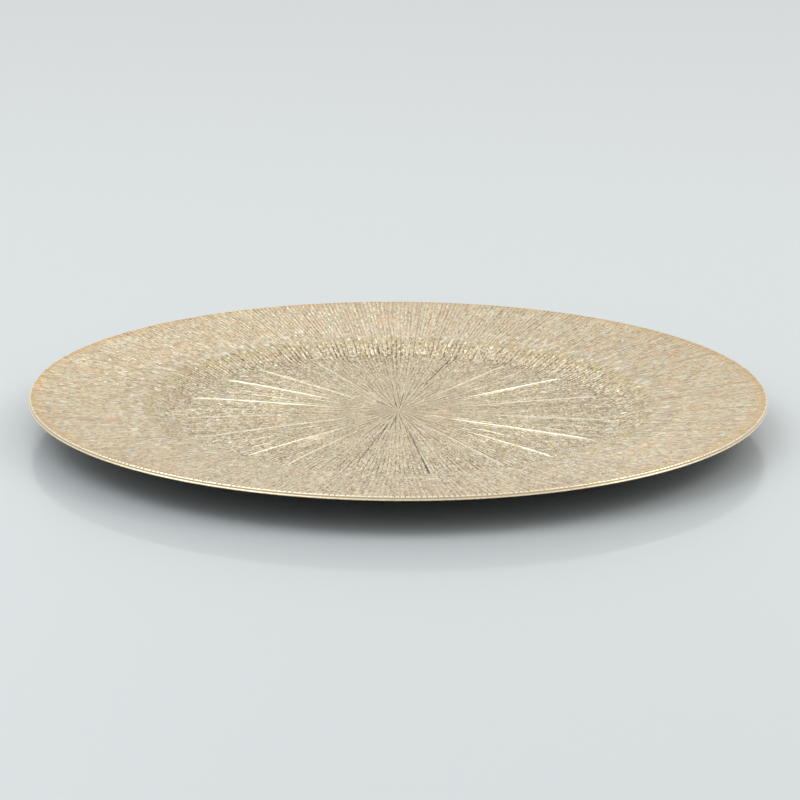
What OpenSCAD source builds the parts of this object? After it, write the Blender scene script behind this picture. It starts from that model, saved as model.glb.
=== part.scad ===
// Charger plate: a black moulded plate with a foot ring, and a gold relief face bonded over its upper side.
// Millimetres, +Z up. The origin is the middle of the foot ring's plane, on the table.

/* [Plate] */
// Diameter over the rim
plate_d = 330; // [290:5:360]
// Height from the table to the top of the rim
plate_h = 16; // [14:0.5:20]
// Wall of the moulded plate under the face
wall_t = 1.7; // [1.4:0.1:2.4]

/* [Well and shoulder] */
// Diameter of the flat floor of the well
floor_d = 196; // [180:2:206]
// Width of the sloping shoulder round the floor
shoulder_w = 15; // [12:1:20]
// Height of the rim's inner border above the floor
shoulder_h = 5; // [3:0.5:6]
// Radius of the hollow round where the floor meets the shoulder
floor_round_r = 20; // [8:1:30]
// Radius of the soft round where the shoulder meets the rim
shoulder_round_r = 40; // [15:1:60]

/* [Foot ring] */
// Outside diameter of the foot ring
foot_d = 190; // [160:2:196]
// Height of the foot ring under the plate's wall
foot_h = 2.1; // [1.5:0.1:3]
// Width of the foot ring where it leaves the wall
foot_w = 4; // [3.5:0.1:6]
// Width of the flat land that stands on the table
foot_land_w = 1.6; // [1:0.1:2]
// Radius of the rounds beside the land
foot_round_r = 0.8; // [0.3:0.1:0.9]
// Diameter of the moulding gate's recess under the middle
gate_d = 12; // [8:1:20]
// Depth of the moulding gate's recess
gate_depth = 0.5; // [0.3:0.1:0.8]

/* [Gold face] */
// Thickness of the face over the crests of its relief
face_t = 0.6; // [0.5:0.05:0.9]
// Thickness of the bonding layer between the face and the plate
bond_t = 0.05; // [0.04:0.01:0.1]
// Radius of the round along the face's upper edge
edge_round_r = 0.6; // [0.4:0.05:0.8]
// Radius of the smooth hem that ends the face at the rim
hem_r = 0.5; // [0.3:0.05:0.6]

/* [Rays of the shoulder and the rim] */
// Number of rays
ray_count = 240; // [120:20:240]
// Depth of the valleys between the rays
ray_depth = 0.35; // [0.2:0.05:0.4]
// How much lower the lowest crests lie, as a share of that depth
crest_drop_share = 0.4; // [0:0.1:0.6]
// How far a ray sways to the side on the shoulder, as a share of the rays' pitch
sway_share = 0.12; // [0:0.02:0.2]

/* [Spokes of the well] */
// Width of a raised spoke at its root
spoke_w = 1; // [0.6:0.1:1.4]
// Height of a spoke's crest above the floor
spoke_h = 0.35; // [0.2:0.05:0.6]
// Length over which a spoke swells from its point, and runs out at the shoulder
spoke_lead = 6; // [3:1:12]

/* [Hidden] */
$fn = 240;

plate_r = plate_d / 2;
floor_r = floor_d / 2;
foot_r = foot_d / 2;
floor_z = foot_h + wall_t + face_t;
hem_z = plate_h - face_t - wall_t + hem_r;
face_edge_r = plate_r - hem_r;
base_edge_r = face_edge_r - face_t;
rim_r = floor_r + shoulder_w;
rim_z = floor_z + shoulder_h;
// How far a cut runs past the surface that it opens
overrun = wall_t / 10;
// Steps in each round of the profile, along the edge's round and round the hem
round_steps = 3;
edge_steps = 2;
hem_steps = 4;
// Sides of the smooth rings, and points on a ray ring for each of them
plain_count = ray_count / 2;
zip = 2 * ray_count / plain_count;
// Turn between one ray and the next in the pattern of their heights and sways, in degrees
pattern_turn = 137.5;

// Directions of the spokes, from the front edge towards the right, in degrees
spoke_angles = [-177, -155, -137, -123, -102, -82, -63, -42, -29, -12,
                8, 28, 43, 62, 82, 106, 127, 148, 165];
// Where each spoke starts, as a share of the floor's radius
spoke_start_shares = [0.10, 0.18, 0.07, 0.22, 0.12, 0.30, 0.08, 0.20, 0.11, 0.06,
                      0.16, 0.09, 0.24, 0.07, 0.14, 0.10, 0.21, 0.08, 0.17];

// Points of the round that replaces the corner b between the lines to a and to c
function corner_round(a, b, c, rad, steps) =
    let (u = (a - b) / norm(a - b),
         v = (c - b) / norm(c - b),
         half = acos(u * v) / 2,
         centre = b + (u + v) / norm(u + v) * rad / sin(half),
         first = b + u * rad / tan(half) - centre,
         last = b + v * rad / tan(half) - centre,
         from = atan2(first.y, first.x),
         turn = atan2(last.y, last.x) - from,
         sweep = turn > 180 ? turn - 360 : turn < -180 ? turn + 360 : turn)
    [for (i = [0:steps]) centre + rad * [cos(from + sweep * i / steps), sin(from + sweep * i / steps)]];

// The rim's line leaves its inner border as a tangent to the edge round, whose top is the plate's height
edge_run = face_edge_r - edge_round_r - rim_r;
edge_rise = plate_h - edge_round_r - rim_z;
rim_angle = atan2(edge_rise, edge_run) + asin(edge_round_r / norm([edge_run, edge_rise]));
function rim_height(r) = rim_z + tan(rim_angle) * (r - rim_r);

// The face's upper line over the crests: middle, floor round, shoulder round and upper edge
floor_corner = [floor_r, floor_z];
rim_corner = [rim_r, rim_z];
edge_corner = [face_edge_r, rim_height(face_edge_r)];
floor_round = corner_round([0, floor_z], floor_corner, rim_corner, floor_round_r, round_steps);
shoulder_round = corner_round(floor_corner, rim_corner, edge_corner, shoulder_round_r, round_steps);
face_line = concat([[0, floor_z]], floor_round, shoulder_round);

// Height of that line at a radius
function face_height(r) = lookup(r, concat(face_line, [edge_corner]));

// The same line lowered by a depth, and carried straight on to a radius
function lowered(depth, end_r) =
    concat([for (p = face_line) [p.x, p.y - depth]], [[end_r, rim_height(end_r) - depth]]);
function reversed(points) = [for (i = [len(points) - 1:-1:0]) points[i]];

// Black plastic moulding: well, shoulder and rim in one wall, on a foot ring
module moulded_base() {
    color([0.04, 0.04, 0.045]) difference() {
        union() {
            rotate_extrude()
                polygon(concat(lowered(face_t, base_edge_r),
                               reversed(lowered(face_t + wall_t, base_edge_r))));
            foot_ring();
        }
        gate_recess();
    }
}

// Foot ring, which tapers from its root in the wall to its land
module foot_ring() {
    taper = (foot_w - foot_land_w) / 2;
    in_r = foot_r - foot_w;
    land_in = [in_r + taper, 0];
    land_out = [foot_r - taper, 0];
    root_in = [in_r, face_height(in_r) - face_t - wall_t];
    root_out = [foot_r, face_height(foot_r) - face_t - wall_t];
    in_wall = [0, wall_t / 2];
    rotate_extrude()
        polygon(concat([root_in + in_wall, root_in],
                       corner_round(root_in, land_in, land_out, foot_round_r, round_steps),
                       corner_round(land_in, land_out, root_out, foot_round_r, round_steps),
                       [root_out, root_out + in_wall]));
}

module gate_recess() {
    translate([0, 0, foot_h - overrun]) cylinder(h = gate_depth + overrun, d = gate_d);
}

// Gold face over the whole upper side, round the edge and into the hem, with its rays and spokes
module gold_face() {
    color([0.80, 0.70, 0.50]) {
        ring_skin(concat(upper_rings(), under_rings()));
        for (i = [0:len(spoke_angles) - 1])
            rotate(spoke_angles[i] - 90) spoke(spoke_start_shares[i] * floor_r);
    }
}

// Rings from the floor outwards, over the edge and round the hem
function upper_rings() =
    let (slope_start = floor_round[round_steps],
         slope_end = shoulder_round[0],
         ray_start = slope_start + (slope_end - slope_start) / 4,
         edge_round = corner_round(rim_corner, edge_corner, [face_edge_r, hem_z], edge_round_r, edge_steps))
    concat([for (p = floor_round) plain_ring(p)],
           [ray_ring(ray_start, 0, 0)],
           [for (i = [0:round_steps]) ray_ring(shoulder_round[i], 0, 1 - i / round_steps)],
           [for (i = [0:edge_steps])
               ray_ring(edge_round[i], rim_angle + (90 - rim_angle) * i / edge_steps, 0)],
           [for (i = [0:hem_steps])
               plain_ring([face_edge_r, hem_z] + hem_r * [sin(180 * i / hem_steps), cos(180 * i / hem_steps)])]);

// Rings from the hem up the plate's edge and back to the middle, one bonding layer off the plate
function under_rings() =
    let (wall_r = base_edge_r + bond_t,
         line = reversed(lowered(face_t - bond_t, wall_r)))
    concat([plain_ring([wall_r, hem_z - hem_r])],
           [for (i = [0:len(line) - 2]) plain_ring(line[i])]);

// One smooth ring at a radius and height
function plain_ring(p) =
    [for (i = [0:plain_count - 1])
        let (a = 360 * i / plain_count)
        [p.x * sin(a), -p.x * cos(a), p.y]];

// One ring of crests and valleys. lean is the surface's tilt from level, and sway grows from 0 to 1
function ray_ring(p, lean, sway) =
    [for (i = [0:2 * ray_count - 1])
        let (pattern = pattern_turn * floor(i / 2),
             crest = i % 2 == 0,
             drop = ray_depth * (crest ? crest_drop_share * (1 - cos(pattern)) / 2 : 1),
             r = p.x - drop * sin(lean),
             a = 180 / ray_count * (i + 2 * sway_share * sway * sin(pattern)))
        [r * sin(a), -r * cos(a), p.y - drop * cos(lean)]];

// Closed skin through rings that follow each other from one middle, round the edge, to the other
module ring_skin(rings) {
    starts = [for (i = 0, at = 0; i < len(rings); at = at + len(rings[i]), i = i + 1) at];
    last = len(rings) - 1;
    polyhedron(
        points = [for (ring = rings) each ring],
        faces = concat([reversed([for (i = [0:len(rings[0]) - 1]) i])],
                       [for (i = [0:last - 1])
                           each band(starts[i], len(rings[i]), starts[i + 1], len(rings[i + 1]))],
                       [[for (i = [0:len(rings[last]) - 1]) starts[last] + i]]));
}

// Triangles between the ring that starts at point a and the next one, which has as many points or zip times
// more or fewer
function band(a, a_count, b, b_count) =
    a_count == b_count ?
        [for (i = [0:a_count - 1])
            let (j = (i + 1) % a_count)
            each [[a + i, a + j, b + j], [a + i, b + j, b + i]]]
    : a_count < b_count ?
        [for (i = [0:a_count - 1])
            let (j = (i + 1) % a_count, fine = zip * i)
            each concat([for (m = [0:zip - 1])
                            [a + (m < zip / 2 ? i : j), b + (fine + m + 1) % b_count, b + fine + m]],
                        [[a + i, a + j, b + fine + zip / 2]])]
    :   [for (i = [0:b_count - 1])
            let (j = (i + 1) % b_count, fine = zip * i)
            each concat([for (m = [0:zip - 1])
                            [a + fine + m, a + (fine + m + 1) % a_count, b + (m < zip / 2 ? i : j)]],
                        [[a + fine + zip / 2, b + j, b + i]])];

// One raised spoke along +X on the floor: a low roof with a point at both ends, rooted in the film
module spoke(start_r) {
    root_z = floor_z - face_t / 2;
    crest_z = floor_z + spoke_h;
    side = spoke_w / 2;
    in_r = start_r + spoke_lead;
    out_r = floor_r - spoke_lead;
    polyhedron(
        points = [[start_r, 0, root_z], [in_r, -side, root_z], [in_r, side, root_z], [in_r, 0, crest_z],
                  [out_r, -side, root_z], [out_r, side, root_z], [out_r, 0, crest_z], [floor_r, 0, root_z]],
        faces = [[0, 1, 2], [0, 3, 1], [0, 2, 3],
                 [1, 4, 5, 2], [1, 3, 6, 4], [2, 5, 6, 3],
                 [7, 5, 4], [7, 4, 6], [7, 6, 5]]);
}

moulded_base();
gold_face();
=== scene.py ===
# %% [markdown]
# # A gold sunburst charger plate
# A charger is the large decorative plate under a dinner plate. This one is a black plastic moulding on a
# foot ring, and a gold film with an embossed sunburst covers its upper side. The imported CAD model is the
# frame: it gives every size, and nothing here moves or resizes it. This lesson dresses it. The camera comes
# first, then the rule of the film's relief, the finishes, the pieces laid with both, the table and the light.

import math
import random

import bpy
from mathutils import Matrix, Vector


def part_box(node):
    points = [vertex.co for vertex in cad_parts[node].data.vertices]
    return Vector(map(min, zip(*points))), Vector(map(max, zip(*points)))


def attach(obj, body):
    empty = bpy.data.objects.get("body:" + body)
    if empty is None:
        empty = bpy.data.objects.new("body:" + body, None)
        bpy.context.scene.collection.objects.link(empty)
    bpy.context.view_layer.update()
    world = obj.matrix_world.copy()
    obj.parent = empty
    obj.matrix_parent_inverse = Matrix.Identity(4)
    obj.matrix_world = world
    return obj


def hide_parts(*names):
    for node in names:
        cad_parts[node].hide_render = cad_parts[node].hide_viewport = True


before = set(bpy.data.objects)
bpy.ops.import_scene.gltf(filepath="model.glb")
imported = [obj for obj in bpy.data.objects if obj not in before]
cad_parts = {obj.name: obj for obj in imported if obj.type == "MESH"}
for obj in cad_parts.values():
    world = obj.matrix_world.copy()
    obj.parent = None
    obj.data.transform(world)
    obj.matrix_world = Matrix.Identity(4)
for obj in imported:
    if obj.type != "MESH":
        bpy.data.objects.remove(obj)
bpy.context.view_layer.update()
MM = 0.001
TINY = 0.001 * MM  # a length that counts as none

# %% [markdown]
# ## Camera
# The camera comes first, so that every later step can be looked at from the photograph's own place. A long
# lens stands far off and low, 15.5 degrees above the table. The camera's three axes are worked out from that
# angle, and a roll of a third of a degree matches the slight lean of the plate in the picture.

# %% Camera
CAMERA_DISTANCE = 1200 * MM
CAMERA_ELEVATION = math.radians(15.5)
CAMERA_ROLL = math.radians(0.306)
CAMERA_TARGET = Vector((0.78 * MM, 0, 9.49 * MM))
FOCAL_SHARE = 2663.6 / 800  # focal length as a share of the picture's width
SENSOR_WIDTH = 36  # in millimetres, as Blender counts it
CLIP_START, CLIP_END = 10 * MM, 100


def add_object(name, data):
    """A new object in the scene, at the origin."""
    made = bpy.data.objects.new(name, data)
    bpy.context.scene.collection.objects.link(made)
    return made


def make_camera():
    """Camera at the photograph's distance, height and lean."""
    data = bpy.data.cameras.new("camera")
    data.sensor_width = SENSOR_WIDTH
    data.lens = SENSOR_WIDTH * FOCAL_SHARE
    data.clip_start = CLIP_START
    data.clip_end = CLIP_END
    camera = add_object("camera", data)
    backward = Vector((0, -math.cos(CAMERA_ELEVATION), math.sin(CAMERA_ELEVATION)))
    level = Vector((1, 0, 0))
    upward = backward.cross(level)
    right = math.cos(CAMERA_ROLL) * level + math.sin(CAMERA_ROLL) * upward
    up = backward.cross(right)
    axes = Matrix((right, up, backward)).transposed().to_4x4()
    camera.matrix_world = Matrix.Translation(CAMERA_TARGET + CAMERA_DISTANCE * backward) @ axes
    bpy.context.scene.camera = camera
    return camera


camera = make_camera()
print("camera lens", round(camera.data.lens, 1), "mm")

# %% [markdown]
# ## Node helpers
# Geometry and materials are both node trees. A few short helpers keep their code readable: one puts a node
# into a tree and fills or links its inputs, others do a sum on numbers or on vectors, and one makes a group
# with named inputs and outputs. The last one lays a Geometry Nodes tree on a host and keeps the result as a
# plain mesh.

# %% Node helpers
def put(tree, kind, inputs=None, **settings):
    """Adds a node. inputs maps a socket's name or number to a value or to another node's socket."""
    node = tree.nodes.new(kind)
    for name, value in settings.items():
        setattr(node, name, value)
    for key, value in (inputs or {}).items():
        if isinstance(value, bpy.types.NodeSocket):
            tree.links.new(value, node.inputs[key])
        else:
            node.inputs[key].default_value = value
    return node


def calc(tree, operation, *values, clamp=False):
    """One Math node's result."""
    inputs = dict(enumerate(values))
    return put(tree, "ShaderNodeMath", inputs, operation=operation, use_clamp=clamp).outputs[0]


def vector_calc(tree, operation, first, second=None):
    """One Vector Math node's result. For SCALE the second value is a plain factor."""
    inputs = {0: first}
    if second is not None:
        inputs["Scale" if operation == "SCALE" else 1] = second
    return put(tree, "ShaderNodeVectorMath", inputs, operation=operation).outputs[0]


def vector(tree, x, y, z):
    return put(tree, "ShaderNodeCombineXYZ", {"X": x, "Y": y, "Z": z}).outputs[0]


def remap(tree, value, low, high, to_low=0.0, to_high=1.0):
    """Value between low and high, brought smoothly to another range and held at its ends."""
    inputs = {"Value": value, "From Min": low, "From Max": high, "To Min": to_low, "To Max": to_high}
    return put(tree, "ShaderNodeMapRange", inputs, interpolation_type="SMOOTHSTEP").outputs[0]


# %% Groups and pieces
def new_group(name, kind, inputs, outputs):
    """A node group with named sockets; returns the tree, its input sockets and its output sockets."""
    tree = bpy.data.node_groups.new(name, kind)
    for socket_name, socket_kind, default in inputs:
        socket = tree.interface.new_socket(socket_name, in_out="INPUT", socket_type=socket_kind)
        if default is not None:
            socket.default_value = default
    for socket_name, socket_kind in outputs:
        tree.interface.new_socket(socket_name, in_out="OUTPUT", socket_type=socket_kind)
    return tree, tree.nodes.new("NodeGroupInput").outputs, tree.nodes.new("NodeGroupOutput").inputs


def bake_piece(host, tree, values):
    """Lays the tree on the host, turns the result into a plain mesh object, and drops the host."""
    modifier = host.modifiers.new(tree.name, "NODES")
    modifier.node_group = tree
    for item in tree.interface.items_tree:
        if item.item_type == "SOCKET" and item.in_out == "INPUT" and item.name in values:
            modifier[item.identifier] = values[item.name]
    bpy.context.view_layer.update()
    name = host.name
    mesh = bpy.data.meshes.new_from_object(host.evaluated_get(bpy.context.evaluated_depsgraph_get()))
    bpy.data.objects.remove(host)
    piece = add_object(name, mesh)
    mesh.name = name
    print(name, sum(len(face.vertices) - 2 for face in mesh.polygons), "triangles")
    return piece


# %% [markdown]
# ## The film's section
# The gold film follows the plate: a flat floor, a hollow round, a short slope, a soft round, the long rim,
# the rounded edge, and a smooth lip that stands out from the wall under it. Every ring of the mesh is one
# point of that section, so the section decides where the mesh is fine: closely spaced where it bends, wider
# apart on the rim.

# %% Sizes of the section
face_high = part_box("gold_face")[1]
base_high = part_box("moulded_base")[1]
PLATE_R = face_high.x
TOP_Z = face_high.z
FLOOR_R = 98 * MM
FLOOR_Z = 4.4 * MM
SHOULDER_W = 15 * MM
SHOULDER_H = 5 * MM
FLOOR_ROUND = 20 * MM
SHOULDER_ROUND = 40 * MM
EDGE_ROUND = 0.6 * MM
EDGE_T = 2.3 * MM
LIP_OUT = 0.5 * MM
LIP_H = 0.76 * MM
LIP_LIFT = 0.42 * MM  # the lip's lower line above the foot of the edge
BOND = 0.06 * MM
WALL_R = PLATE_R - LIP_OUT
FILM_T = WALL_R - base_high.x
WALL_FOOT_Z = TOP_Z - EDGE_T + LIP_OUT
LIP_Z = WALL_FOOT_Z - LIP_OUT + LIP_LIFT + LIP_H / 2
FLOOR_STEPS, SHOULDER_STEPS, EDGE_STEPS, LIP_STEPS = 10, 12, 4, 6
print("film", round(FILM_T / MM, 2), "mm thick, rim", round(PLATE_R / MM, 1), "mm radius")


# %% Lines and rounds of the section
def round_corner(a, b, c, radius, steps):
    """Points of the arc that replaces corner b between the lines to a and to c."""
    u, v = (a - b).normalized(), (c - b).normalized()
    half = math.acos(u.dot(v)) / 2
    centre = b + (u + v).normalized() * radius / math.sin(half)
    first = b + u * radius / math.tan(half) - centre
    last = b + v * radius / math.tan(half) - centre
    start = math.atan2(first.y, first.x)
    sweep = math.atan2(last.y, last.x) - start
    sweep = (sweep + math.pi) % (2 * math.pi) - math.pi
    return [centre + radius * Vector((math.cos(t), math.sin(t)))
            for t in (start + sweep * i / steps for i in range(steps + 1))]


def line(a, b, pitch):
    """Points from a to b, both included, no further apart than pitch."""
    count = max(1, math.ceil((b - a).length / pitch))
    return [a.lerp(b, i / count) for i in range(count + 1)]


# %% The section
run = WALL_R - EDGE_ROUND - FLOOR_R - SHOULDER_W
rise = TOP_Z - EDGE_ROUND - FLOOR_Z - SHOULDER_H
RIM_ANGLE = math.atan2(rise, run) + math.asin(EDGE_ROUND / math.hypot(run, rise))
middle = Vector((0, FLOOR_Z))
floor_corner = Vector((FLOOR_R, FLOOR_Z))
rim_corner = Vector((FLOOR_R + SHOULDER_W, FLOOR_Z + SHOULDER_H))
RIM_W = WALL_R - rim_corner.x
edge_corner = rim_corner + RIM_W * Vector((1, math.tan(RIM_ANGLE)))
hollow = round_corner(middle, floor_corner, rim_corner, FLOOR_ROUND, FLOOR_STEPS)
crown = round_corner(floor_corner, rim_corner, edge_corner, SHOULDER_ROUND, SHOULDER_STEPS)
edge = round_corner(rim_corner, edge_corner, Vector((WALL_R, WALL_FOOT_Z)), EDGE_ROUND, EDGE_STEPS)
lip = [Vector((WALL_R + LIP_OUT * math.sin(t), LIP_Z + LIP_H / 2 * math.cos(t)))
       for t in (math.pi * i / LIP_STEPS for i in range(LIP_STEPS + 1))]
print("rim rises at", round(math.degrees(RIM_ANGLE), 1), "degrees")

# %% [markdown]
# ## The relief
# On the real film the sunburst is embossed: fine rays run out from the middle and grow in number on the way,
# to 480 on the rim, and short dashes between them give the floor its stipple. A revolved shape with a picture
# on it would look flat from low down. Here a Geometry Nodes tree lays a grid over the section and pushes each
# point along the surface's normal by a rule. The section's points carry, as attributes, how deep each pattern
# is there, so one tree makes the floor and the rim. It leaves attributes for the material too: where a crest
# or a valley is and how much painted shade the valleys and dashes get, where painted highlights lie, and
# where the tints lie.

# %% Parts of the relief rule
# Each noise: features round the plate, features along a metre of radius, and its own shift of the seed.
NOISES = {"wander": (50, 45, 0), "strength": (330, 28, 7), "dashes": (560, 470, 19),
          "sparkle": (340, 220, 31)}


def named(tree, name, kind="FLOAT"):
    return put(tree, "GeometryNodeInputNamedAttribute", {"Name": name}, data_type=kind).outputs[0]


def at_ring(tree, geometry, value, ring, kind="FLOAT"):
    """A value of the section at a ring."""
    return put(tree, "GeometryNodeSampleIndex", {"Geometry": geometry, "Value": value, "Index": ring},
               data_type=kind, domain="POINT").outputs[0]


def rays(tree, angle, count, sway):
    """Rounded crests with sharp valleys between them, from 0 in a valley to 1 on a crest."""
    phase = calc(tree, "ADD", calc(tree, "MULTIPLY", angle, calc(tree, "MULTIPLY", count, 0.5)), sway)
    return calc(tree, "ABSOLUTE", calc(tree, "COSINE", phase))


def around(tree, angle, radius, seed, count, per_metre, shift):
    """Noise with so many features round the plate and so many along a metre of radius. It has no seam."""
    reach = calc(tree, "DIVIDE", count, 2 * math.pi)
    along = calc(tree, "ADD", calc(tree, "MULTIPLY", radius, per_metre), calc(tree, "ADD", seed, shift))
    where = vector(tree, calc(tree, "MULTIPLY", calc(tree, "COSINE", angle), reach),
                   calc(tree, "MULTIPLY", calc(tree, "SINE", angle), reach), along)
    return put(tree, "ShaderNodeTexNoise", {"Vector": where, "Scale": 1.0, "Detail": 1.0}).outputs[0]


# %% Grid over the section
SHARP_WITHIN = 0.25  # of the way from one ring to the next


def section_grid(tree, given):
    """A grid whose X counts the section's rings and whose Y goes once round. The upper faces are smooth, and
    the edges where the upper side ends are sharp. Returns it with each point's ring and angle."""
    section = given["Section"]
    rings = put(tree, "GeometryNodeAttributeDomainSize", {"Geometry": section}).outputs["Point Count"]
    last_ring = calc(tree, "SUBTRACT", rings, 1)
    last_upper = calc(tree, "SUBTRACT", given["Upper rings"], 1)
    grid = put(tree, "GeometryNodeMeshGrid", {"Size X": 1.0, "Size Y": 1.0, "Vertices X": rings,
                                              "Vertices Y": calc(tree, "ADD", given["Columns"], 1)})
    place = put(tree, "ShaderNodeSeparateXYZ", {0: put(tree, "GeometryNodeInputPosition").outputs[0]})
    ring = calc(tree, "MULTIPLY", calc(tree, "ADD", place.outputs["X"], 0.5), last_ring)
    smooth = put(tree, "GeometryNodeSetShadeSmooth",
                 {"Geometry": grid.outputs["Mesh"], "Shade Smooth": calc(tree, "LESS_THAN", ring, last_upper)},
                 domain="FACE")
    from_turn = calc(tree, "ABSOLUTE", calc(tree, "SUBTRACT", ring, last_upper))
    from_ends = calc(tree, "MINIMUM", ring, calc(tree, "SUBTRACT", last_ring, ring))
    at_turn = calc(tree, "LESS_THAN", calc(tree, "MINIMUM", from_turn, from_ends), SHARP_WITHIN)
    sharp = put(tree, "GeometryNodeSetShadeSmooth",
                {"Geometry": smooth.outputs[0], "Selection": at_turn, "Shade Smooth": False}, domain="EDGE")
    angle = calc(tree, "MULTIPLY", calc(tree, "ADD", place.outputs["Y"], 0.5), 2 * math.pi)
    return sharp, calc(tree, "ROUND", ring), angle


# %% Carve the rays
RAY_COUNTS = {"rim_depth": "Rim rays", "shoulder_depth": "Shoulder rays", "middle_depth": "Middle rays",
              "inner_depth": "Inner rays", "core_depth": "Core rays"}
SWAYING = ("rim_depth", "shoulder_depth")
print("ray patterns:", ", ".join(RAY_COUNTS.values()))


def carve_rays(tree, given, of_ring, angle, wander):
    """How far all the ray patterns together lower a point, in metres and as a share of the deepest."""
    lowered, deepest = 0.0, TINY
    for depth_name, count_name in RAY_COUNTS.items():
        sway = wander if depth_name in SWAYING else 0.0
        valley = calc(tree, "SUBTRACT", 1.0, rays(tree, angle, given[count_name], sway))
        depth = of_ring(depth_name)
        lowered = calc(tree, "ADD", lowered, calc(tree, "MULTIPLY", valley, depth))
        deepest = calc(tree, "ADD", deepest, depth)
    return lowered, calc(tree, "DIVIDE", lowered, deepest)


def keep_values(tree, node, values):
    """Stores named values on the points, for the material."""
    for name, value in values.items():
        node = put(tree, "GeometryNodeStoreNamedAttribute",
                   {"Geometry": node.outputs[0], "Name": name, "Value": value},
                   data_type="FLOAT", domain="POINT")
    return node


# %% Relief tree
MERGE_WITHIN = 0.002 * MM
COLUMNS = 1920


def relief_tree():
    """Grid over the section, each point lowered by the rays and dashes."""
    inputs = [("Section", "NodeSocketGeometry", None), ("Columns", "NodeSocketInt", COLUMNS),
              ("Upper rings", "NodeSocketInt", 40), ("Rim rays", "NodeSocketInt", 480),
              ("Shoulder rays", "NodeSocketInt", 300), ("Middle rays", "NodeSocketInt", 150),
              ("Inner rays", "NodeSocketInt", 77), ("Core rays", "NodeSocketInt", 32),
              ("Sway", "NodeSocketFloat", 1.0), ("Seed", "NodeSocketFloat", 3.0),
              ("Finish", "NodeSocketMaterial", None)]
    tree, given, result = new_group("sunburst relief", "GeometryNodeTree", inputs,
                                    [("Geometry", "NodeSocketGeometry")])
    section = given["Section"]
    grid, ring, angle = section_grid(tree, given)

    def of_ring(name, kind="FLOAT"):
        return at_ring(tree, section, named(tree, name, kind), ring, kind)

    position = put(tree, "GeometryNodeInputPosition").outputs[0]
    spot = at_ring(tree, section, position, ring, "FLOAT_VECTOR")
    spot = put(tree, "ShaderNodeSeparateXYZ", {0: spot}).outputs
    normal = put(tree, "ShaderNodeSeparateXYZ", {0: of_ring("outward", "FLOAT_VECTOR")}).outputs
    radius, height = spot["X"], spot["Z"]

    def noise(name):
        return around(tree, angle, radius, given["Seed"], *NOISES[name])

    swing = calc(tree, "MULTIPLY", given["Sway"], of_ring("sway"))
    wander = calc(tree, "MULTIPLY", calc(tree, "SUBTRACT", noise("wander"), 0.5), swing)
    strength = remap(tree, noise("strength"), 0.38, 0.62, 0.7, 1.0)
    dashes = remap(tree, noise("dashes"), 0.38, 0.64)
    lowered, valley = carve_rays(tree, given, of_ring, angle, wander)
    valley = calc(tree, "MULTIPLY", calc(tree, "MULTIPLY", valley, strength), of_ring("line_width"))
    # Painted shade: the valleys of the rays and the dashes get a darker colour, and crest is what stays
    # unshaded.
    painted_shade = calc(tree, "MULTIPLY", remap(tree, valley, 0.35, 0.85), of_ring("line_shade"))
    painted_shade = calc(tree, "ADD", painted_shade, calc(tree, "MULTIPLY", dashes, of_ring("dash_shade")))
    crest = calc(tree, "SUBTRACT", calc(tree, "SUBTRACT", 1.0, painted_shade), of_ring("groove_shade"), clamp=True)
    # Painted glints: pale spots where the sparkle noise peaks, stored with the painted highlights.
    sparkle = calc(tree, "MULTIPLY", remap(tree, noise("sparkle"), 0.6, 0.67), of_ring("sparkle"))
    painted_highlight = calc(tree, "MAXIMUM", sparkle, of_ring("painted_highlight"))

    lowered = calc(tree, "ADD", calc(tree, "MULTIPLY", lowered, strength),
                   calc(tree, "MULTIPLY", dashes, of_ring("dash_depth")))
    out = calc(tree, "SUBTRACT", radius, calc(tree, "MULTIPLY", lowered, normal["X"]))
    up = calc(tree, "SUBTRACT", height, calc(tree, "MULTIPLY", lowered, normal["Z"]))
    backward = calc(tree, "MULTIPLY", calc(tree, "MULTIPLY", out, calc(tree, "COSINE", angle)), -1.0)
    target = vector(tree, calc(tree, "MULTIPLY", out, calc(tree, "SINE", angle)), backward, up)

    marked = keep_values(tree, grid, {"crest": crest, "glint": of_ring("glint"), "tint": of_ring("tint"),
                                      "crown_shade": of_ring("crown_shade"), "stipple": of_ring("stipple"),
                                      "painted_highlight": painted_highlight})
    moved = put(tree, "GeometryNodeSetPosition", {"Geometry": marked.outputs[0], "Position": target})
    closed = put(tree, "GeometryNodeMergeByDistance", {"Geometry": moved.outputs[0], "Distance": MERGE_WITHIN})
    real = put(tree, "GeometryNodeRealizeInstances", {"Geometry": closed.outputs[0]})
    finish = put(tree, "GeometryNodeSetMaterial", {"Geometry": real.outputs[0], "Material": given["Finish"]})
    tree.links.new(finish.outputs[0], result["Geometry"])
    return tree


relief = relief_tree()
print(relief.name, len(relief.nodes), "nodes")

# %% [markdown]
# ## Shader groups
# Every streak and glint on the film runs along the rays, so the finish needs places counted in the plate's
# own round coordinates. The first group gives those, the second draws even lines along the rays, and the
# third counts plain grains. The fourth makes cells at such places and tilts the surface a little, cell by
# cell, which is what makes a crystal-like stipple glint. Each material places the groups with its own values.

# %% Places along the rays and plain grains
RIM_START = 112 * MM


def object_place(tree):
    return put(tree, "ShaderNodeTexCoord").outputs["Object"]


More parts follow.
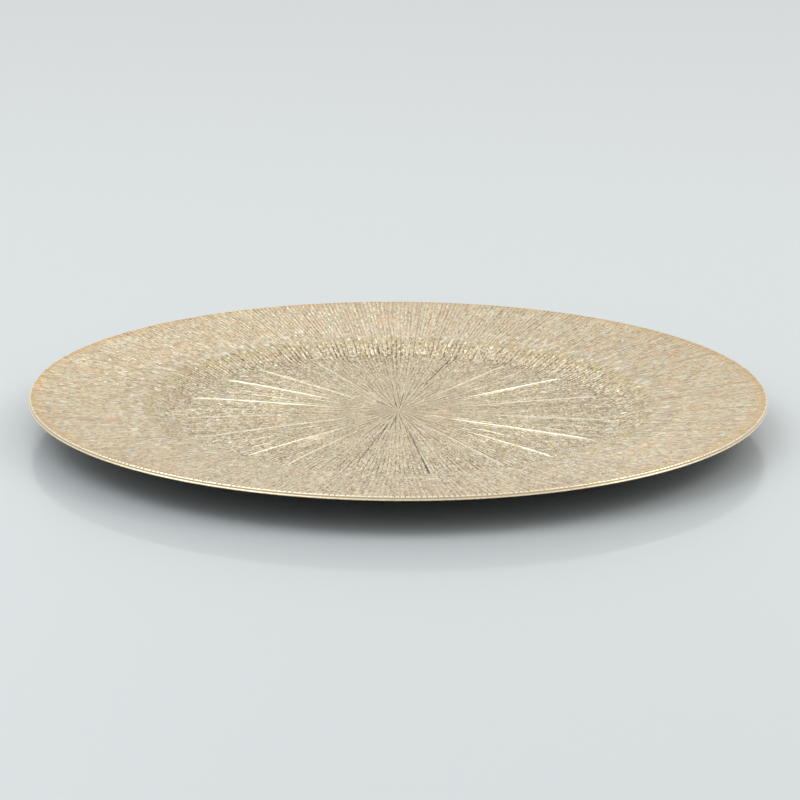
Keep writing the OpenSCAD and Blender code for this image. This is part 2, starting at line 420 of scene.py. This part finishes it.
def ray_place_group():
    """Object coordinates bent so that Round cells go once round the plate and Per metre cells go outwards.
    On the rim only Rim share of those cells go outwards, so each is longer."""
    inputs = [("Round", "NodeSocketFloat", 900.0), ("Per metre", "NodeSocketFloat", 200.0),
              ("Rim share", "NodeSocketFloat", 1.0), ("Seed", "NodeSocketFloat", 0.0)]
    tree, given, result = new_group("ray place", "ShaderNodeTree", inputs, [("Place", "NodeSocketVector")])
    here = put(tree, "ShaderNodeSeparateXYZ", {0: object_place(tree)})
    x, y = here.outputs["X"], here.outputs["Y"]
    square = calc(tree, "ADD", calc(tree, "MULTIPLY", x, x), calc(tree, "MULTIPLY", y, y))
    radius = calc(tree, "SQRT", square)
    reach = calc(tree, "DIVIDE", calc(tree, "DIVIDE", given["Round"], 2 * math.pi),
                 calc(tree, "MAXIMUM", radius, MM))
    within = calc(tree, "MINIMUM", radius, RIM_START)
    beyond = calc(tree, "MULTIPLY", calc(tree, "SUBTRACT", radius, within), given["Rim share"])
    along = calc(tree, "MULTIPLY", calc(tree, "ADD", within, beyond), given["Per metre"])
    along = calc(tree, "ADD", along, given["Seed"])
    bent = vector(tree, calc(tree, "MULTIPLY", x, reach), calc(tree, "MULTIPLY", y, reach), along)
    tree.links.new(bent, result["Place"])
    return tree


def ray_line_group():
    """Even dark lines along the rays: Count of them go round the plate."""
    tree, given, result = new_group("ray lines", "ShaderNodeTree", [("Count", "NodeSocketFloat", 960.0)],
                                    [("Line", "NodeSocketFloat")])
    here = put(tree, "ShaderNodeSeparateXYZ", {0: object_place(tree)})
    angle = calc(tree, "ARCTAN2", here.outputs["X"], here.outputs["Y"])
    turn = calc(tree, "MULTIPLY", angle, calc(tree, "MULTIPLY", given["Count"], 0.5))
    dark = remap(tree, calc(tree, "ABSOLUTE", calc(tree, "COSINE", turn)), 0.6, 0.1)
    tree.links.new(dark, result["Line"])
    return tree


def grain_place_group():
    """Object coordinates counted in grains of a given size in metres."""
    tree, given, result = new_group("grain place", "ShaderNodeTree", [("Size", "NodeSocketFloat", 0.4 * MM)],
                                    [("Place", "NodeSocketVector")])
    scaled = vector_calc(tree, "SCALE", object_place(tree), calc(tree, "DIVIDE", 1.0, given["Size"]))
    tree.links.new(scaled, result["Place"])
    return tree


# %% Facets
MIDDLE_GREY = (0.5, 0.5, 0.5)


def facet_group():
    """A cell at each unit of Place. Each one tilts the normal its own way and has its own two chances."""
    tree, given, result = new_group("facets", "ShaderNodeTree",
                                    [("Place", "NodeSocketVector", None), ("Tilt", "NodeSocketFloat", 0.5)],
                                    [("Normal", "NodeSocketVector"), ("Chance", "NodeSocketFloat"),
                                     ("Shade", "NodeSocketFloat")])
    cells = put(tree, "ShaderNodeTexVoronoi", {"Vector": given["Place"], "Scale": 1.0})
    lean = vector_calc(tree, "SUBTRACT", cells.outputs["Color"], MIDDLE_GREY)
    lean = vector_calc(tree, "SCALE", lean, given["Tilt"])
    face = put(tree, "ShaderNodeNewGeometry").outputs["Normal"]
    unit = vector_calc(tree, "NORMALIZE", vector_calc(tree, "ADD", face, lean))
    chance = put(tree, "ShaderNodeSeparateXYZ", {0: cells.outputs["Color"]})
    tree.links.new(unit, result["Normal"])
    tree.links.new(chance.outputs["Y"], result["Chance"])
    tree.links.new(chance.outputs["Z"], result["Shade"])
    return tree


ray_place = ray_place_group()
ray_lines = ray_line_group()
grain_place = grain_place_group()
facets = facet_group()
print("shader groups:", ", ".join(group.name for group in (ray_place, ray_lines, grain_place, facets)))

# %% [markdown]
# ## Finishes
# The film is metal, deposited on plastic and lacquered: a champagne gold with paler, oranger, greener and
# duller flecks, hairlines along the rays, pits and painted glints in the well, painted olive shade along the
# shoulder's crown, and a band of orange gold at the edge. Its valleys get painted shade, almost black at the
# feet of the creases, and so do the wall under the beads and the lip's lower half. Painted highlights make the
# scattered spots and the spokes nearly white and the beads and the lip's upper half paler. The moulding under
# it is satin black plastic. A colour is worked out layer by layer, each with a mask that says where it lies.

# %% Golds
CHAMPAGNE = (0.85, 0.735, 0.485)
# Painted shade: a deep tone for valleys and rib feet, nearly black at the feet of the creases.
VALLEY_SHADE_GOLD = (0.36, 0.27, 0.17)
CREASE_SHADOW_DARK = (0.09, 0.07, 0.055)
ORANGE_GOLD = (0.91, 0.59, 0.31)
# Painted shade: a darker olive for the shoulder's crown.
CROWN_SHADE_OLIVE = (0.66, 0.54, 0.24)
SILVER_GOLD = (0.74, 0.76, 0.57)
# Pale gold colours random pale flecks and painted highlights; white gold colours painted highlights only.
PALE_FLECK_AND_HIGHLIGHT_GOLD = (0.98, 0.92, 0.74)
HIGHLIGHT_WHITE = (1.0, 0.97, 0.90)
RED_GOLD = (0.58, 0.40, 0.28)
EDGE_GOLD = (0.82, 0.54, 0.22)
DULL_GOLD = (0.56, 0.42, 0.25)


# %% Material helpers
def new_material(name):
    material = bpy.data.materials.new(name)
    material.use_nodes = True
    return material, material.node_tree, material.node_tree.nodes["Principled BSDF"]


def place_group(tree, group, **values):
    """Places a shared group in a material with its own values."""
    node = tree.nodes.new("ShaderNodeGroup")
    node.node_tree = group
    for key, value in values.items():
        socket = node.inputs[key.replace("_", " ")]
        if isinstance(value, bpy.types.NodeSocket):
            tree.links.new(value, socket)
        else:
            socket.default_value = value
    return node.outputs


def mix_colour(tree, factor, a, b):
    """Colour a where factor is 0, colour b where it is 1."""
    node = put(tree, "ShaderNodeMix", {"Factor": factor}, data_type="RGBA")
    for socket, value in ((node.inputs[6], a), (node.inputs[7], b)):
        if isinstance(value, bpy.types.NodeSocket):
            tree.links.new(value, socket)
        else:
            socket.default_value = (*value, 1.0)
    return node.outputs[2]


def noise_at(tree, place):
    return put(tree, "ShaderNodeTexNoise", {"Vector": place, "Scale": 1.0, "Detail": 2.0}).outputs[0]


# %% Gold film
HAIRLINE_DEPTH = 0.05 * MM


def gold_material():
    """Metal film: champagne with flecks and hairlines, painted shade in the valleys, painted highlights and
    glinting facets.
    """
    material, tree, shader = new_material("gold_film")
    crest, glint, tint, crown_shade, painted_highlight, stipple = (
        put(tree, "ShaderNodeAttribute", attribute_name=name).outputs["Fac"]
        for name in ("crest", "glint", "tint", "crown_shade", "painted_highlight", "stipple"))

    def along_rays(**values):
        return place_group(tree, ray_place, **values)["Place"]

    def grains(size):
        return place_group(tree, grain_place, Size=size)["Place"]

    streak = noise_at(tree, along_rays(Round=1500.0, Per_metre=120.0, Seed=5.0))
    hair = noise_at(tree, along_rays(Round=520.0, Per_metre=14.0, Seed=9.0))
    patch = noise_at(tree, grains(14 * MM))
    facet = place_group(tree, facets, Tilt=calc(tree, "MULTIPLY", glint, 0.75),
                        Place=along_rays(Round=960.0, Per_metre=1050.0, Rim_share=0.5, Seed=2.0))
    fleck = place_group(tree, facets, Tilt=0.0,
                        Place=along_rays(Round=1200.0, Per_metre=1500.0, Rim_share=0.4, Seed=4.0))
    pits = place_group(tree, facets, Tilt=0.0, Place=grains(1.3 * MM))
    thin_line = calc(tree, "MULTIPLY", place_group(tree, ray_lines, Count=960.0)["Line"],
                     remap(tree, stipple, 0.0, 1.0, 0.33, 0.0))
    pit = calc(tree, "MULTIPLY", stipple, remap(tree, pits["Chance"], 0.65, 1.0, 0.0, 0.45))
    painted_glint = calc(tree, "MULTIPLY", stipple, remap(tree, pits["Shade"], 0.65, 1.0, 0.0, 0.75))

    tone = CHAMPAGNE
    for mask, colour in ((remap(tree, fleck["Chance"], 0.6, 1.0), ORANGE_GOLD),
                         (remap(tree, fleck["Chance"], 0.4, 0.0), SILVER_GOLD),
                         (remap(tree, fleck["Shade"], 0.7, 1.0), PALE_FLECK_AND_HIGHLIGHT_GOLD),
                         (remap(tree, facet["Shade"], 0.75, 1.0, 0.0, 0.7), PALE_FLECK_AND_HIGHLIGHT_GOLD),
                         (remap(tree, fleck["Shade"], 0.3, 0.0), DULL_GOLD),
                         (remap(tree, facet["Shade"], 0.25, 0.0, 0.0, 0.7), DULL_GOLD),
                         (remap(tree, patch, 0.5, 0.75, 0.0, 0.25), ORANGE_GOLD),
                         (remap(tree, streak, 0.55, 0.75, 0.0, 0.4), RED_GOLD),
                         (remap(tree, hair, 0.54, 0.66, 0.0, 0.55), RED_GOLD),
                         # The pale specks in the well are painted glints; the thin lines and the pits are tone.
                         (thin_line, RED_GOLD), (pit, DULL_GOLD), (painted_glint, PALE_FLECK_AND_HIGHLIGHT_GOLD),
                         (tint, EDGE_GOLD), (crown_shade, CROWN_SHADE_OLIVE),
                         # Painted highlights: pale, then white where they are strongest.
                         (remap(tree, painted_highlight, 0.0, 0.5), PALE_FLECK_AND_HIGHLIGHT_GOLD),
                         (remap(tree, painted_highlight, 0.5, 1.0), HIGHLIGHT_WHITE)):
        tone = mix_colour(tree, mask, tone, colour)
    # Painted shade: valleys and rib feet darker, nearly black where crest is lowest.
    tone = mix_colour(tree, remap(tree, crest, 0.2, 0.8), VALLEY_SHADE_GOLD, tone)
    tone = mix_colour(tree, remap(tree, crest, 0.0, 0.2), CREASE_SHADOW_DARK, tone)
    tree.links.new(tone, shader.inputs["Base Color"])

    shader.inputs["Metallic"].default_value = 1.0
    satin = calc(tree, "MULTIPLY", remap(tree, streak, 0.3, 0.7, 0.26, 0.40),
                 remap(tree, facet["Chance"], 0.7, 0.95, 1.0, 0.4))
    tree.links.new(satin, shader.inputs["Roughness"])
    hairlines = put(tree, "ShaderNodeBump", {"Strength": 0.5, "Distance": HAIRLINE_DEPTH, "Height": streak,
                                             "Normal": facet["Normal"]})
    tree.links.new(hairlines.outputs[0], shader.inputs["Normal"])
    return material


# %% Black plastic
SOOT, COAL = (0.006, 0.006, 0.005), (0.011, 0.011, 0.009)
MOULD_TEXTURE_DEPTH = 0.03 * MM


def black_material():
    """Satin black moulding with the faint texture of its tool."""
    material, tree, shader = new_material("black_plastic")
    fine = noise_at(tree, place_group(tree, grain_place, Size=0.5 * MM)["Place"])
    cloud = noise_at(tree, place_group(tree, grain_place, Size=9 * MM)["Place"])
    tree.links.new(mix_colour(tree, remap(tree, cloud, 0.4, 0.6), SOOT, COAL), shader.inputs["Base Color"])
    tree.links.new(remap(tree, fine, 0.3, 0.7, 0.34, 0.46), shader.inputs["Roughness"])
    shader.inputs["Specular IOR Level"].default_value = 0.15
    bump = put(tree, "ShaderNodeBump", {"Strength": 0.25, "Distance": MOULD_TEXTURE_DEPTH, "Height": fine})
    tree.links.new(bump.outputs[0], shader.inputs["Normal"])
    return material


gold = gold_material()
black = black_material()
print("materials:", gold.name, "and", black.name)

# %% [markdown]
# ## Laying the film
# Each section becomes a host: a row of points with the depths of the patterns as attributes. The film is laid
# in five rings that meet on flat or straight stretches, because one mesh for all of it would be too heavy.
# Each ring is closed by a plain underside that lies on the moulding. The rules below say how deep each
# pattern is, and how strong each look, at a radius r and a height z in metres.

# %% Depth of each pattern along the radius
def fade(value, low, high):
    """0 below low, 1 above high, and a smooth turn between."""
    t = min(max((value - low) / (high - low), 0), 1)
    return t * t * (3 - 2 * t)


def band(value, low, rise_end, fall_start, high):
    """1 between rise_end and fall_start, and smooth slopes down to 0 at low and high."""
    return fade(value, low, rise_end) * (1 - fade(value, fall_start, high))


DEPTHS = {
    "rim_depth": lambda r: 0.27 * MM * fade(r, 0.112, 0.124),
    "shoulder_depth": lambda r: (0.18 * band(r, 0.042, 0.062, 0.094, 0.098)
                                 + 0.25 * band(r, 0.095, 0.101, 0.110, 0.122)) * MM,
    "middle_depth": lambda r: 0.16 * MM * band(r, 0.026, 0.040, 0.052, 0.070),
    "inner_depth": lambda r: 0.16 * MM * band(r, 0.010, 0.017, 0.028, 0.045),
    "core_depth": lambda r: 0.16 * MM * min(r / 0.010, 1) * band(r, 0.0005, 0.002, 0.014, 0.024),
    "dash_depth": lambda r: (0.05 * fade(r, 0.006, 0.030) + 0.15 * fade(r, 0.030, 0.060)
                             - 0.18 * fade(r, 0.100, 0.112)) * MM,
}


def until_edge(depth):
    """The depth, faded out where the film turns down into the wall."""
    return lambda r, z: depth(r) * (1 - fade(r, WALL_R - EDGE_ROUND, WALL_R - 0.02 * MM))


# %% Strength of each look along the section
LIP_START, LIP_FULL = WALL_R + 0.1 * MM, WALL_R + 0.25 * MM


def tint(r, z):
    """Orange gold on the last millimetres of the rim and on the lip."""
    return (0.3 * band(r, 0.157, 0.1625, 0.1641, 0.1645) + 0.6 * band(r, 0.1612, 0.1630, 0.1639, 0.1642)
            + 0.9 * band(r, WALL_R - 0.1 * MM, WALL_R, LIP_START, LIP_FULL)
            + 0.3 * fade(r, LIP_START, LIP_FULL))


def groove_shade(r, z):
    """Painted shade: a dark line on the wall between the beads and the lip, and a darker lower half of the lip.
    """
    if r > WALL_R - 0.1 * MM and LIP_Z + 0.45 * LIP_H < z < TOP_Z - 0.5 * MM:
        return 0.55
    return 0.7 * fade(r, WALL_R, LIP_START) * fade(LIP_Z - z, -0.1 * LIP_H, 0.35 * LIP_H)


def painted_highlight(r, z):
    """Painted highlight: pale gold on the beads and on the lip's upper half."""
    beads = band(r, 0.1637, 0.1641, 0.1643, 0.1647)
    return 0.5 * beads + 0.3 * fade(r, 0.1646, 0.1648) * fade(z - LIP_Z, -0.1 * LIP_H, 0.22 * LIP_H)


LOOKS = {
    "sway": lambda r, z: 0.7 + 0.6 * fade(r, 0.112, 0.122),
    "glint": lambda r, z: (0.75 + 0.2 * fade(r, 0.010, 0.050) - 0.55 * fade(r, 0.109, 0.120)
                           - 0.4 * fade(r, WALL_R - EDGE_ROUND, WALL_R)),
    # How much painted shade the ray valleys and the dashes get along the section.
    "line_shade": lambda r, z: (0.78 - 0.23 * fade(r, 0.025, 0.065)
                                + 0.1 * band(r, 0.096, 0.101, 0.108, 0.114)
                                + 0.5 * fade(r, 0.1632, 0.1638)),
    "line_width": lambda r, z: 1.3 - 0.3 * fade(r, 0.012, 0.024),
    "dash_shade": lambda r, z: ((0.2 + 0.28 * band(r, 0.005, 0.040, 0.098, 0.112))
                                * (1 - fade(r, 0.1635, 0.164))),
    "tint": tint,
    # Painted shade: a darker olive ring along the shoulder's crown.
    "crown_shade": lambda r, z: 0.3 * band(r, 0.105, 0.111, 0.113, 0.117),
    "groove_shade": groove_shade,
    "painted_highlight": painted_highlight,
    "stipple": lambda r, z: 1 - fade(r, 0.098, 0.110),
    # Painted glints: where pale spots are scattered.
    "sparkle": lambda r, z: (0.65 * band(r, 0.065, 0.085, 0.122, 0.136)
                             - 0.25 * band(r, 0.099, 0.103, 0.109, 0.114)),
}
RULES = {**{name: until_edge(depth) for name, depth in DEPTHS.items()}, **LOOKS}
print(len(RULES), "rules along the section")


# %% Ring of film
def section_host(name, upper, under):
    """A row of points with its outward normals and what each rule says there. The underside has no relief,
    and where the last point closes the ring it is treated as the first."""
    points = upper + under
    last = len(points) - 1
    closing = (points[last] - points[0]).length < TINY
    mesh = bpy.data.meshes.new(name + "_section")
    mesh.from_pydata([(p.x, 0, p.y) for p in points], [(i, i + 1) for i in range(last)], [])
    outward = mesh.attributes.new("outward", "FLOAT_VECTOR", "POINT")
    for i in range(len(points)):
        k = 0 if closing and i == last else i
        along = upper[min(k + 1, len(upper) - 1)] - upper[max(k - 1, 0)] if k < len(upper) else Vector((1, 0))
        along.normalize()
        outward.data[i].vector = (-along.y, 0, along.x)
    for rule_name, rule in RULES.items():
        layer = mesh.attributes.new(rule_name, "FLOAT", "POINT")
        for i, point in enumerate(points):
            covered = i < len(upper) or (closing and i == last)
            layer.data[i].value = rule(point.x, point.y) if covered else 0.0
    return add_object(name, mesh)


def dress(piece):
    """Ties a piece of the film to the plate and hides the CAD solid that it stands for."""
    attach(piece, "root")
    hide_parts("gold_face")


def lay_ring(name, upper, under, columns=COLUMNS):
    """One ring of the film, from its upper section and the underside that closes it."""
    host = section_host(name, upper, under)
    dress(bake_piece(host, relief, {"Upper rings": len(upper), "Columns": columns, "Finish": gold}))


# %% Joints and underside of the rings
WELL_JOIN = Vector((47 * MM, FLOOR_Z))
SHOULDER_JOIN = Vector((94 * MM, FLOOR_Z))
RIM_JOIN = rim_corner.lerp(edge_corner, 12 * MM / RIM_W)
EDGE_JOIN = rim_corner.lerp(edge_corner, 37 * MM / RIM_W)
drop = Vector((0, FILM_T - BOND))
inner_wall_r = base_high.x + BOND
inner_wall_foot = Vector((inner_wall_r, LIP_Z - LIP_H / 2))
under_edge = edge_corner + (inner_wall_r - WALL_R) * Vector((1, math.tan(RIM_ANGLE))) - drop
joins = (WELL_JOIN, SHOULDER_JOIN, RIM_JOIN, EDGE_JOIN)
print("rings meet at", [round(join.x / MM, 1) for join in joins], "mm radius")

# %% Lay the five rings
RIM_COLUMNS = 3840
FLOOR_PITCH = 0.97 * MM
SLOPE_PITCH = 0.75 * MM
CROWN_PITCH = 0.9 * MM
RIM_PITCH = 1.2 * MM
EDGE_PITCH = 2.4 * MM
lay_ring("gold_middle", line(middle, WELL_JOIN, FLOOR_PITCH), [WELL_JOIN - drop, middle - drop])
lay_ring("gold_well", line(WELL_JOIN, SHOULDER_JOIN, FLOOR_PITCH),
         [SHOULDER_JOIN - drop, WELL_JOIN - drop, WELL_JOIN])
lay_ring("gold_shoulder",
         [SHOULDER_JOIN] + hollow + line(hollow[-1], crown[0], SLOPE_PITCH)[1:-1] + crown
         + line(crown[-1], RIM_JOIN, CROWN_PITCH)[1:],
         [RIM_JOIN - drop, rim_corner - drop, floor_corner - drop, SHOULDER_JOIN - drop, SHOULDER_JOIN])
lay_ring("gold_rim", line(RIM_JOIN, EDGE_JOIN, RIM_PITCH),
         [EDGE_JOIN - drop, RIM_JOIN - drop, RIM_JOIN], RIM_COLUMNS)
lay_ring("gold_edge", line(EDGE_JOIN, edge[0], EDGE_PITCH) + edge[1:] + lip,
         [inner_wall_foot, under_edge, EDGE_JOIN - drop, EDGE_JOIN], RIM_COLUMNS)

# %% [markdown]
# ## Spokes
# Sixteen long spokes cross the well, raised like fine cords from near the middle to the foot of the shoulder.
# They are ribs that repeat, so one tree lays them all: a line is given a thickness that swells and fades, a
# round profile is swept along it, and an instance of it stands on each point of a small table. Noise then
# makes each rib waver a little, as hand-cut tooling does. A rib gets painted shade at its foot and a painted
# highlight along its length. Low creases come from the same tree, nearly black with painted shade: three
# long ones between the spokes and thirteen short ones round the middle.

# %% Spoke tree
SPOKE_STEPS, SPOKE_SIDES = 50, 12
WAVER_PER_METRE = 160.0
WAVER_SHARES = (1.0, 1.0, 0.5)  # a rib wavers half as much upwards as sideways
SHADE_FROM_FLOOR = 0.15 * MM


def spoke_tree():
    """A tapered rib of unit length on each point, turned, stretched and thickened by the point's attributes."""
    inputs = [("Points", "NodeSocketGeometry", None), ("Waver", "NodeSocketFloat", 0.5 * MM),
              ("Floor", "NodeSocketFloat", FLOOR_Z), ("Shade", "NodeSocketFloat", 0.0),
              ("Painted highlight", "NodeSocketFloat", 0.0), ("Tip", "NodeSocketFloat", 0.01),
              ("Finish", "NodeSocketMaterial", None)]
    tree, given, result = new_group("spokes", "GeometryNodeTree", inputs, [("Geometry", "NodeSocketGeometry")])
    straight = put(tree, "GeometryNodeCurvePrimitiveLine", {"Start": (0, 0, 0), "End": (1, 0, 0)})
    fine = put(tree, "GeometryNodeResampleCurve", {"Curve": straight.outputs[0], "Count": SPOKE_STEPS})
    share = put(tree, "GeometryNodeSplineParameter").outputs["Factor"]
    swell = calc(tree, "MULTIPLY", remap(tree, share, 0.0, 0.6, given["Tip"], 1.0),
                 remap(tree, share, 0.9, 1.0, 1.0, 0.2))
    disc = put(tree, "GeometryNodeCurvePrimitiveCircle", {"Resolution": SPOKE_SIDES, "Radius": 1.0})
    swept = put(tree, "GeometryNodeCurveToMesh", {"Curve": fine.outputs[0], "Profile Curve": disc.outputs[0],
                                                  "Scale": swell, "Fill Caps": True})
    laid = put(tree, "GeometryNodeInstanceOnPoints",
               {"Points": given["Points"], "Instance": swept.outputs[0],
                "Rotation": vector(tree, 0.0, 0.0, named(tree, "turn")),
                "Scale": named(tree, "size", "FLOAT_VECTOR")})
    real = put(tree, "GeometryNodeRealizeInstances", {"Geometry": laid.outputs[0]})
    here = put(tree, "GeometryNodeInputPosition").outputs[0]
    noise = put(tree, "ShaderNodeTexNoise", {"Vector": here, "Scale": WAVER_PER_METRE, "Detail": 2.0})
    shake = vector_calc(tree, "SUBTRACT", noise.outputs["Color"], MIDDLE_GREY)
    shake = vector_calc(tree, "MULTIPLY", shake, WAVER_SHARES)
    shake = vector_calc(tree, "SCALE", shake, given["Waver"])
    moved = put(tree, "GeometryNodeSetPosition", {"Geometry": real.outputs[0], "Offset": shake})
    # Painted shade near the floor, and a painted highlight along the rib.
    above = calc(tree, "SUBTRACT", put(tree, "ShaderNodeSeparateXYZ", {0: here}).outputs["Z"], given["Floor"])
    shade = calc(tree, "MULTIPLY", given["Shade"], remap(tree, above, 0.0, SHADE_FROM_FLOOR, 1.0, 0.0))
    spoke_highlight = calc(tree, "MULTIPLY", given["Painted highlight"], remap(tree, noise.outputs[0], 0.35, 0.6, 0.4, 1.0))
    marked = keep_values(tree, moved, {"crest": calc(tree, "SUBTRACT", 1.0, shade), "glint": 0.2,
                                       "painted_highlight": spoke_highlight})
    smooth = put(tree, "GeometryNodeSetShadeSmooth", {"Geometry": marked.outputs[0]})
    finish = put(tree, "GeometryNodeSetMaterial", {"Geometry": smooth.outputs[0], "Material": given["Finish"]})
    tree.links.new(finish.outputs[0], result["Geometry"])
    return tree


spokes = spoke_tree()
print(spokes.name, len(spokes.nodes), "nodes")


# %% Laying spokes
def lay_spokes(name, table, rooted, tip, shade, painted_highlight=0.0):
    """table holds a direction in degrees, a start and an end radius, a width and a height for each rib.
    rooted is how deep the ribs reach into the floor, and tip is the share of its thickness that a rib has at
    its inner end."""
    mesh = bpy.data.meshes.new(name + "_points")
    turns = [math.radians(degrees - 90) for degrees, *_ in table]
    mesh.from_pydata([(near * math.cos(t), near * math.sin(t), FLOOR_Z - rooted)
                      for t, (_, near, *_) in zip(turns, table)], [], [])
    turn = mesh.attributes.new("turn", "FLOAT", "POINT")
    size = mesh.attributes.new("size", "FLOAT_VECTOR", "POINT")
    for i, (_, near, far, width, height) in enumerate(table):
        turn.data[i].value = turns[i]
        size.data[i].vector = (far - near, width / 2, height + rooted)
    host = add_object(name, mesh)
    dress(bake_piece(host, spokes, {"Shade": shade, "Painted highlight": painted_highlight, "Tip": tip, "Finish": gold}))


# %% Long spokes
# Each has its direction in degrees, its start as a share of the floor's radius, and its thickness.
SPOKES = ((-177, 0.10, 0.4), (-155, 0.18, 0.7), (-137, 0.07, 0.8), (-123, 0.22, 0.9), (-102, 0.12, 1.1),
          (-82, 0.30, 0.6), (-63, 0.08, 0.6), (-42, 0.20, 0.6), (-29, 0.11, 0.7),
          (28, 0.09, 0.7), (43, 0.24, 0.85), (62, 0.07, 1.2), (82, 0.14, 0.5), (106, 0.10, 0.8),
          (127, 0.21, 0.9), (148, 0.08, 0.75))
SPOKE_WIDTH = 0.8 * MM
SPOKE_HEIGHT = 0.5 * MM
SPOKE_ROOT = 0.2 * MM
SPOKE_TIP = 0.00784
lay_spokes("well_spokes", [(angle, start * FLOOR_R, FLOOR_R, swell * SPOKE_WIDTH, swell * SPOKE_HEIGHT)
                           for angle, start, swell in SPOKES], SPOKE_ROOT, SPOKE_TIP, shade=0.3, painted_highlight=0.8)

# %% Creases
# Each has its direction, its start and end as shares of the floor's radius, and its width in millimetres.
CREASES = ((-12, 0.06, 0.85, 0.42), (8, 0.03, 1.0, 0.52), (165, 0.35, 1.0, 0.5), (-175, 0.02, 0.22, 0.4),
           (178, 0.03, 0.26, 0.4), (169, 0.03, 0.18, 0.35), (-148, 0.05, 0.2, 0.4), (-104, 0.1, 0.26, 0.35),
           (-66, 0.05, 0.17, 0.35), (-33, 0.08, 0.28, 0.4), (-4, 0.06, 0.2, 0.35), (20, 0.06, 0.3, 0.4),
           (35, 0.09, 0.24, 0.35), (71, 0.06, 0.2, 0.35), (99, 0.1, 0.22, 0.35), (124, 0.05, 0.16, 0.35))
CREASE_HEIGHT = 0.03 * MM
CREASE_ROOT = 0.1 * MM
CREASE_TIP = 0.0049
# The creases get nearly black painted shade from the spoke tree.
lay_spokes("spoke_creases", [(angle, start * FLOOR_R, end * FLOOR_R, width * MM, CREASE_HEIGHT)
                             for angle, start, end, width in CREASES], CREASE_ROOT, CREASE_TIP, shade=1.0)

# %% [markdown]
# Between the long spokes lie many faint ones, short and thin. A seeded draw places them, so that every run
# gives the same plate.

# %% Faint spokes
FAINT_SPOKES = 150
FAINT_TIP = 0.0191122672
draw = random.Random(11)
faint_table = []
for _ in range(FAINT_SPOKES):
    begin = draw.uniform(0.1, 0.75) * FLOOR_R
    length = draw.uniform(0.08, 0.3) * FLOOR_R
    faint_table.append((draw.uniform(-180, 180), begin, min(begin + length, FLOOR_R),
                        draw.uniform(0.4, 0.7) * MM, draw.uniform(0.0, 0.12) * MM))
lay_spokes("well_streaks", faint_table, SPOKE_ROOT, FAINT_TIP, shade=0.3, painted_highlight=0.3)

# %% [markdown]
# ## The moulding
# The black plate's solid is right as it comes from the CAD model, so it stays and only gets its finish.

# %% Black plate
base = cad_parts["moulded_base"]
base.data.materials.clear()
base.data.materials.append(black)
print("moulded_base keeps", len(base.data.polygons), "faces")

# %% [markdown]
# ## Table and light
# The table is a pale surface under a clear gloss that mirrors the dark underside a little. A large softbox
# high on the left and a wide lamp on each side fill the plate, and a small lamp far behind it draws the
# glints on the facets. They are large and high, so that their own reflections in the table stay faint from
# every side. A bright, even world stands for the rest of a daylight studio.

# %% Table
TABLE_REACH = 6.0
TABLE_COLOUR = (0.61, 0.645, 0.65, 1)


def make_table():
    corners = [(x * TABLE_REACH, y * TABLE_REACH, 0) for x, y in ((-1, -1), (1, -1), (1, 1), (-1, 1))]
    mesh = bpy.data.meshes.new("table")
    mesh.from_pydata(corners, [], [(0, 1, 2, 3)])
    table = add_object("table", mesh)
    material, _, shader = new_material("pale_gloss_table")
    shader.inputs["Base Color"].default_value = TABLE_COLOUR
    shader.inputs["Roughness"].default_value = 0.35
    shader.inputs["Coat Weight"].default_value = 0.36
    shader.inputs["Coat Roughness"].default_value = 0.07
    mesh.materials.append(material)


make_table()
print("table", 2 * TABLE_REACH, "m wide")

# %% Lamps
# Each has its name, its place, its width and depth in metres, its power in watts, and its colour.
LAMPS = (("softbox", (-0.7, -0.1, 1.3), (1.1, 0.9), 4.5, (0.84, 0.93, 1.0)),
         ("sparkle", (-0.6, 1.9, 1.5), (0.3, 0.3), 0.76, (1.0, 0.95, 0.88)),
         ("left", (-1.3, 0.1, 1.2), (0.8, 0.6), 2.3, (0.90, 0.96, 1.0)),
         ("right", (1.3, 0.1, 1.2), (0.8, 0.6), 4.8, (1.0, 0.97, 0.92)))


def make_lamp(name, place, size, power, colour):
    """An area lamp that looks at the plate."""
    data = bpy.data.lights.new(name, "AREA")
    data.shape = "RECTANGLE"
    data.size, data.size_y = size
    data.energy = power
    data.color = colour
    lamp = add_object(name, data)
    lamp.location = place
    lamp.rotation_euler = (-Vector(place)).to_track_quat("-Z", "Y").to_euler()


for lamp in LAMPS:
    make_lamp(*lamp)
print(len(LAMPS), "lamps")

# %% World
WORLD_COLOUR = (0.975, 0.985, 0.98, 1)
WORLD_LEVEL = 0.86


def make_world():
    world = bpy.data.worlds.new("studio")
    world.use_nodes = True
    background = world.node_tree.nodes["Background"]
    background.inputs["Color"].default_value = WORLD_COLOUR
    background.inputs["Strength"].default_value = WORLD_LEVEL
    bpy.context.scene.world = world


make_world()
bpy.context.scene.view_settings.view_transform = "Standard"
print("world level", WORLD_LEVEL)
